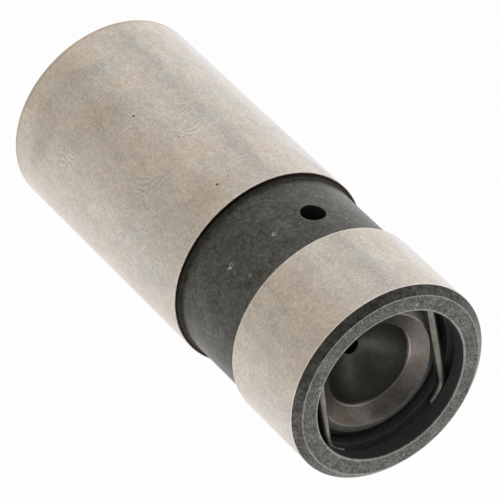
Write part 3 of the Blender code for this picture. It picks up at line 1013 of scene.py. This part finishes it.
GEOMETRY = {"Geometry": "Geometry"}
COIL_TREE = make_group("Coil Spring", coil_spring, GEOMETRY, "GeometryNodeTree")
BENT_WIRE_TREE = make_group("Bent Wire", bent_wire, GEOMETRY, "GeometryNodeTree")
WINDOWS_TREE = make_group("Oil Windows", oil_windows, GEOMETRY, "GeometryNodeTree")


# Pieces


def tappet_body():
    """The ground body with its black band, rim and bore, drilled for oil."""
    fillet = oil_band_fillet
    black = "band_black"
    outline = [
        Corner(0, foot_thickness, "bore_black"),
        Corner(pocket_radius, foot_thickness, "bore_black", floor_round),
        Corner(pocket_radius, shoulder_height, "bore_black", inner_edge_round),
        Corner(bore_radius, shoulder_height, "bore_black"),
        Corner(bore_radius, ring_height - groove_half, "groove_black", inner_edge_round, "bore_black"),
        Corner(groove_radius, ring_height - groove_half, "groove_black"),
        Corner(groove_radius, ring_height + groove_half, "groove_black"),
        Corner(bore_radius, ring_height + groove_half, "bore_black", inner_edge_round),
        Corner(bore_radius, body_length - mouth_chamfer, "rim_edge"),
        Corner(bore_radius + mouth_chamfer, body_length, "rim_grey"),
        Corner(body_radius - rim_chamfer_width, body_length, "chamfer_black", rim_edge_round, "rim_edge"),
        Corner(body_radius, body_length - rim_chamfer_height, "ground_land"),
        Corner(body_radius, band_top, black, land_edge_round, "polished_edge"),
        Corner(band_radius, band_top, black, fillet),
    ]
    rings = round((oil_band_length - 2 * fillet) / BAND_RING_PITCH)
    for step in range(1, rings):
        height = band_top - fillet - (oil_band_length - 2 * fillet) * step / rings
        outline.append(Corner(band_radius, height, black))
    outline += [
        Corner(band_radius, band_bottom, black, fillet),
        Corner(body_radius, band_bottom, "ground_land", land_edge_round, "polished_edge"),
        Corner(body_radius, foot_chamfer, "foot_ground"),
        Corner(body_radius - foot_chamfer, 0, "foot_ground"),
        Corner(0, 0, "foot_ground"),
    ]
    body = turned("tappet_body", outline, closed=False)
    start, end = (0, -band_radius - drill_start_gap, oil_hole_height), (
        0, -bore_radius / 2, oil_hole_height
    )
    cut(body, drill(oil_hole_radius, start, end, "hole_black", oil_hole_flare))
    fit(shade(body), "body", "lifter_body", "ground_iron")


def ring_corner(bow, leg):
    """One corner of the ring: its bend's centre and the angle at which the bend meets the bow."""
    across = leg - ring_bend_radius
    along = math.sqrt((bow - ring_bend_radius) ** 2 - across**2)
    return (along, across), math.atan2(across, along)


def retaining_wire():
    """The bent wire ring: two legs over the seat that spread from a closed bow to two free tips."""
    bow = groove_radius - ring_groove_clearance - ring_wire_radius
    closed_bend, closed_turn = ring_corner(bow, seat_edge_radius + ring_closed_overhang)
    open_bend, open_turn = ring_corner(bow, seat_edge_radius + ring_open_overhang)
    closed_end = arc((0, 0), bow, 0, closed_turn, RING_STEPS)[:-1]
    closed_end += arc(closed_bend, ring_bend_radius, closed_turn, math.pi / 2, RING_STEPS)
    open_end = arc(open_bend, ring_bend_radius, math.pi / 2, open_turn, RING_STEPS)
    open_end += arc((0, 0), bow, open_turn, open_turn - ring_tip_length / bow, RING_STEPS)[1:]
    side = [(-along, across) for along, across in closed_end]
    first, last = Vector(side[-1]), Vector(open_end[0])
    side += [tuple(first.lerp(last, step / RING_STEPS)) for step in range(1, RING_STEPS)] + open_end
    path = [(along, -across) for along, across in reversed(side)] + side[1:]
    curve = bpy.data.curves.new("retaining_wire", "CURVE")
    curve.dimensions = "3D"
    spline = curve.splines.new("POLY")
    spline.points.add(len(path) - 1)
    turn = Matrix.Rotation(ring_turn, 4, "Z")
    for point, (along, across) in zip(spline.points, path):
        point.co = (*(turn @ Vector((along, across, ring_height))), 1)
    wire = run_tree(
        link("retaining_wire", curve),
        BENT_WIRE_TREE,
        wire_radius=ring_wire_radius,
        end_round=ring_end_round,
        wire_sides=WIRE_SIDES,
        material=FINISHES["drawn_wire"],
    )
    fit(shade(wire), "body", "retainer_ring", "spring_wire")


def arc(middle, radius, start, end, steps):
    """Points on an arc from one angle to another, both ends included."""
    points = []
    for step in range(steps + 1):
        angle = start + (end - start) * step / steps
        points.append((middle[0] + radius * math.cos(angle), middle[1] + radius * math.sin(angle)))
    return points


def pushrod_cup():
    """The pushrod seat: a boss, a cone down to the ball socket, and the oil hole."""
    spigot_radius = counterbore_radius - spigot_clearance
    flange_top = seat_top - seat_boss_height
    flange_bottom = flange_top - seat_flange_thickness
    sphere = (socket_mouth_radius**2 + socket_depth**2) / (2 * socket_depth)
    mouth_height = seat_top - seat_cone_drop
    middle = mouth_height - socket_depth + sphere
    mouth_angle = math.atan2(mouth_height - middle, socket_mouth_radius)
    hole_bottom = middle - math.sqrt(sphere**2 - socket_hole_radius**2)
    hole_angle = math.atan2(hole_bottom - middle, socket_hole_radius)
    seat, socket = "seat_steel", "socket_steel"
    outline = [Corner(seat_edge_radius, seat_top, "seat_slope", edge_round, "polished_edge")]
    outline += corners(
        seat,
        (seat_boss_radius, seat_top - seat_slope_drop, seat_boss_round),
        (seat_boss_radius, flange_top, seat_boss_round),
        (seat_flange_radius - seat_flange_chamfer, flange_top),
        (seat_flange_radius, flange_top - seat_flange_chamfer),
        (seat_flange_radius, flange_bottom, edge_round),
        (spigot_radius, flange_bottom, spigot_round),
        (spigot_radius, seat_underside, edge_round),
    )
    rise = arc((0, middle), sphere, hole_angle, mouth_angle, SOCKET_STEPS)
    outline += corners(socket, (socket_hole_radius, seat_underside), *rise[:-1])
    outline.append(Corner(*rise[-1], seat, edge_round, "polished_edge"))
    outline.append(
        Corner(seat_edge_radius - seat_edge_land, seat_top, seat, fine_edge_round, "polished_edge")
    )
    fit(shade(turned("pushrod_cup", outline)), "plunger_group", "pushrod_seat", "hardened_steel")


def metering_plate():
    """The thin valve plate between seat and plunger."""
    outline = corners(
        "plate_steel",
        (disc_high.x, disc_high.z, ground_edge_round),
        (disc_high.x, disc_low.z, ground_edge_round),
        (disc_hole_radius, disc_low.z, fine_edge_round),
        (disc_hole_radius, disc_high.z, fine_edge_round),
    )
    plate = turned("metering_plate", outline, steps=SMALL_TURN_STEPS)
    fit(shade(plate), "plunger_group", "metering_disc", "bright_steel")


def plunger_sleeve():
    """The plunger: reservoir, feed groove and hole, and the check seat in its floor."""
    radius = plunger_high.x
    top, bottom = plunger_high.z, plunger_low.z
    ledge = disc_low.z - rest_gap
    groove_top = oil_hole_height + oil_hole_radius + plunger_travel + plunger_groove_margin
    groove_bottom = oil_hole_height - oil_hole_radius - plunger_groove_margin
    groove_floor = radius - plunger_groove_depth
    outline = corners(
        "sleeve_steel",
        (radius - plunger_top_chamfer, top, ground_edge_round),
        (radius, top - plunger_top_chamfer, ground_edge_round),
        (radius, groove_top, edge_round),
        (groove_floor, groove_top - plunger_groove_depth, plunger_groove_round),
        (groove_floor, groove_bottom + plunger_groove_depth, plunger_groove_round),
        (radius, groove_bottom, edge_round),
        (radius, bottom + plunger_foot_chamfer, edge_round),
        (radius - plunger_foot_chamfer, bottom, edge_round),
        (check_hole_radius + check_seat_depth, bottom, fine_edge_round),
        (check_hole_radius, bottom + check_seat_depth, fine_edge_round),
        (check_hole_radius, bottom + plunger_floor - check_seat_depth, edge_round),
        (reservoir_radius, bottom + plunger_floor, plunger_floor_round),
        (reservoir_radius, ledge, edge_round),
        (counterbore_radius, ledge, edge_round),
        (counterbore_radius, top, edge_round),
    )
    sleeve = turned("plunger_sleeve", outline)
    middle = (groove_top + groove_bottom) / 2
    cut(sleeve, drill(plunger_feed_hole_radius, (0, bore_radius, middle), (0, 0, middle), "sleeve_steel"))
    fit(shade(sleeve), "plunger_group", "plunger", "bright_steel")


def valve_cage():
    """The stamped hat that holds the check ball and its spring, with its oil windows."""
    metal = cage_metal
    outer = ball_radius + cage_side_clearance + metal
    top, bottom = cage_high.z, cage_low.z
    inner_corner, outer_corner = cage_corner_radius - metal / 2, cage_corner_radius + metal / 2
    outline = corners(
        "cage_steel",
        (cage_high.x, top, cage_edge_round),
        (cage_high.x, top - metal, cage_edge_round),
        (outer, top - metal, inner_corner),
        (outer, bottom, outer_corner),
        (cage_vent_radius, bottom, edge_round),
        (cage_vent_radius, bottom + metal, cage_edge_round),
        (outer - metal, bottom + metal, inner_corner),
        (outer - metal, top, outer_corner),
    )
    cage = run_tree(
        turned("valve_cage", outline, steps=SMALL_TURN_STEPS),
        WINDOWS_TREE,
        count=cage_windows,
        width=cage_window_width,
        height=cage_window_height,
        wall_radius=outer - metal / 2,
        middle_height=(top + bottom) / 2,
        material=FINISHES["cage_steel"],
    )
    fit(shade(cage), "plunger_group", "check_valve_cage", "bright_steel")


def valve_ball():
    """The check ball."""
    work = bmesh.new()
    bmesh.ops.create_uvsphere(work, u_segments=96, v_segments=64, radius=ball_radius)
    bmesh.ops.translate(work, vec=(ball_low + ball_high) / 2, verts=work.verts)
    ball = meshed("valve_ball", work, [FINISHES["ball_steel"]])
    ball.data.shade_smooth()
    fit(ball, "check_ball", "check_ball", "bright_steel")


def coil(name, body, node, wire_radius, turns, closed_turns, joint, travel):
    """A wound spring that fills the box of its node; its joint and travel are not used."""
    low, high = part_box(node)
    spring = run_tree(
        link(name, bpy.data.meshes.new(name)),
        COIL_TREE,
        coil_radius=high.x - wire_radius,
        length=high.z - low.z - 2 * wire_radius,
        base_height=low.z + wire_radius,
        turns=turns,
        closed_turns=closed_turns,
        closed_pitch=2 * wire_radius + rest_gap,
        wire_radius=wire_radius,
        steps_per_turn=SPRING_STEPS,
        wire_sides=WIRE_SIDES,
        material=FINISHES["drawn_wire"],
    )
    fit(shade(spring), body, node, "spring_wire")
    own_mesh(spring)


def return_spring():
    """The spring under the plunger."""
    wire = (spring_wire_radius, spring_turns, spring_closed_turns)
    coil("return_spring", "body", "plunger_spring", *wire, "plunger_slide", plunger_travel)


def valve_spring():
    """The light spring under the ball."""
    lift = next(joint for joint in frame["joints"] if joint["name"] == "check_ball_lift")
    wire = (ball_spring_wire_radius, ball_spring_turns, ball_spring_closed_turns)
    travel = -lift["range_m"][0]
    coil("valve_spring", "plunger_group", "check_ball_spring", *wire, "check_ball_lift", travel)


# Studio: the azimuth and elevation of the table's and the ceiling's dark sides, and the seam's azimuth

dark_table = (math.radians(-29), math.radians(42))
dark_ceiling = (math.radians(-79), math.radians(72))
seam_azimuth = math.radians(-124)
seam_half_width = math.radians(16)
seam_share = 0.30
side_flags = ((40, 30), (170, 17), (265, 24))  # each dark flag's azimuth and half width, in degrees
SEAM_TONE = (0.30, 0.32, 0.33)
FLAG_TONE = (0.32, 0.305, 0.285)
FLAG_SHARE = 0.62
WHITE_SHARE = 0.975  # of the floor that the camera sees, the rest is paper that takes a shadow
FLOOR_RADIUS = 0.8
FLOOR_GAP = 0.01 * MM
LAMP_ELEVATION = 50
LAMP_DISTANCE = 0.35
TABLE_TONES = [
    (-1.0, (1.17, 1.18, 1.23)),
    (-0.87, (1.08, 1.06, 1.04)),
    (-0.60, (1.0, 1.0, 1.0)),
    (-0.36, (0.95, 0.95, 0.945)),
    (-0.10, (0.86, 0.845, 0.82)),
    (0.03, (0.655, 0.63, 0.585)),
    (0.50, (0.52, 0.48, 0.43)),
    (1.0, (0.30, 0.27, 0.235)),
]
CEILING_TONES = [
    (-1.0, (1.15, 1.15, 1.16)),
    (-0.25, (1.07, 1.07, 1.07)),
    (-0.05, (1.03, 1.03, 1.03)),
    (0.07, (0.92, 0.91, 0.90)),
    (0.25, (0.75, 0.74, 0.73)),
    (0.44, (0.56, 0.545, 0.53)),
    (0.69, (0.38, 0.37, 0.355)),
    (0.88, (0.25, 0.24, 0.23)),
    (1.0, (0.10, 0.097, 0.093)),
]


def facing(azimuth, elevation):
    """The direction of an azimuth and an elevation in radians."""
    level = math.cos(elevation)
    return Vector((level * math.cos(azimuth), level * math.sin(azimuth), math.sin(elevation)))


def tent_tone(vector):
    """How bright the studio is in a direction: a pale table below, and darker above on the camera's side."""
    parts = split(vector)
    toward = vector_calc("DOT_PRODUCT", vector, facing(*dark_table), output="Value")
    table = tones(toward, TABLE_TONES)
    level = vector_calc("NORMALIZE", combine(parts["X"], parts["Y"]))
    beside = vector_calc("DOT_PRODUCT", level, facing(seam_azimuth, 0), output="Value")
    table = blend(ramp(beside, math.cos(seam_half_width), 1.0, 0.0, seam_share), table, SEAM_TONE)
    low_down = times(ramp(parts["Z"], -0.55, -0.36), ramp(parts["Z"], -0.10, 0.0, FLAG_SHARE, 0.0))
    for azimuth, half_width in side_flags:
        near = vector_calc("DOT_PRODUCT", level, facing(math.radians(azimuth), 0), output="Value")
        in_flag = ramp(near, math.cos(math.radians(half_width)), math.cos(math.radians(half_width / 3)))
        table = tinted(table, in_flag, low_down, FLAG_TONE)
    high = vector_calc("DOT_PRODUCT", vector, facing(*dark_ceiling), output="Value")
    ceiling = tones(high, CEILING_TONES)
    return [blend(ramp(parts["Z"], -0.05, 0.12), table, ceiling)]


TENT_TONE = make_group("Tent Tone", tent_tone, {"Color": "Color"})


def make_world():
    """The studio's tent round the object, with plain white in its place for the camera alone."""
    world = bpy.data.worlds.new("studio")
    world.use_nodes = True
    tree = world.node_tree
    tree.nodes.clear()
    direction = tree.nodes.new("ShaderNodeTexCoord").outputs["Generated"]
    tone = effect(TENT_TONE, direction)
    tent = add(tree, "ShaderNodeBackground", {"Color": tone, "Strength": 1.0})
    white = add(tree, "ShaderNodeBackground", {"Color": (1, 1, 1, 1), "Strength": 1.0})
    seen = tree.nodes.new("ShaderNodeLightPath").outputs["Is Camera Ray"]
    mixed = add(tree, "ShaderNodeMixShader", {0: seen, 1: tent.outputs[0], 2: white.outputs[0]})
    add(tree, "ShaderNodeOutputWorld", {"Surface": mixed.outputs["Shader"]})
    bpy.context.scene.world = world


def make_floor():
    """A white floor under the foot that keeps a faint shadow and lets gloss mirror the tent."""
    material = bpy.data.materials.new("white_floor")
    material.use_nodes = True
    tree = material.node_tree
    tree.nodes.clear()
    path = tree.nodes.new("ShaderNodeLightPath").outputs
    glow = add(tree, "ShaderNodeEmission", {"Color": (1, 1, 1, 1), "Strength": 1.0})
    paper = add(tree, "ShaderNodeBsdfDiffuse", {"Color": (0.80, 0.80, 0.80, 1)})
    clear = add(tree, "ShaderNodeBsdfTransparent")
    seen = times(path["Is Camera Ray"], WHITE_SHARE)
    lit = add(tree, "ShaderNodeMixShader", {0: seen, 1: paper.outputs[0], 2: glow.outputs[0]})
    mirrored = calc("MAXIMUM", path["Is Glossy Ray"], path["Is Transmission Ray"])
    surface = add(tree, "ShaderNodeMixShader", {0: mirrored, 1: lit.outputs[0], 2: clear.outputs[0]})
    add(tree, "ShaderNodeOutputMaterial", {"Surface": surface.outputs["Shader"]})
    work = bmesh.new()
    bmesh.ops.create_circle(work, cap_ends=True, segments=96, radius=FLOOR_RADIUS)
    floor = meshed("floor", work, [material])
    floor.location.z = -FLOOR_GAP
    floor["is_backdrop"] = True


def soft_lamp(name, azimuth, size, watts):
    """A square soft lamp aimed at the middle of the object."""
    light = bpy.data.lights.new(name, "AREA")
    light.shape = "SQUARE"
    light.size = size
    light.energy = watts
    lamp = link(name, light)
    away = facing(math.radians(azimuth), math.radians(LAMP_ELEVATION))
    lamp.location = camera_aim + away * LAMP_DISTANCE
    lamp.rotation_euler = away.to_track_quat("Z", "Y").to_euler()


def make_camera():
    """The camera at the photograph's place, rolled as it was held."""
    away = facing(camera_azimuth, camera_elevation)
    side = Vector((-math.sin(camera_azimuth), math.cos(camera_azimuth), 0))
    up = away.cross(side)
    right = side * math.cos(camera_roll) + up * math.sin(camera_roll)
    above = up * math.cos(camera_roll) - side * math.sin(camera_roll)
    camera = bpy.data.cameras.new("camera")
    camera.sensor_width = 36
    camera.lens = camera_lens
    camera.clip_start = 0.01
    camera.clip_end = 10
    obj = link("camera", camera)
    turn = Matrix((right, above, away)).transposed()
    obj.matrix_world = Matrix.Translation(camera_aim + away * camera_distance) @ turn.to_4x4()
    bpy.context.scene.camera = obj


make_camera()
make_world()
make_floor()
soft_lamp("back_lamp", 131, 0.30, 0.10)
soft_lamp("left_lamp", -150, 0.12, 0.015)
soft_lamp("right_lamp", 51, 0.12, 0.03)
bpy.context.scene.view_settings.view_transform = "Standard"

tappet_body()
retaining_wire()
pushrod_cup()
metering_plate()
plunger_sleeve()
valve_cage()
valve_ball()
return_spring()
valve_spring()

visual_low, visual_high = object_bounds()
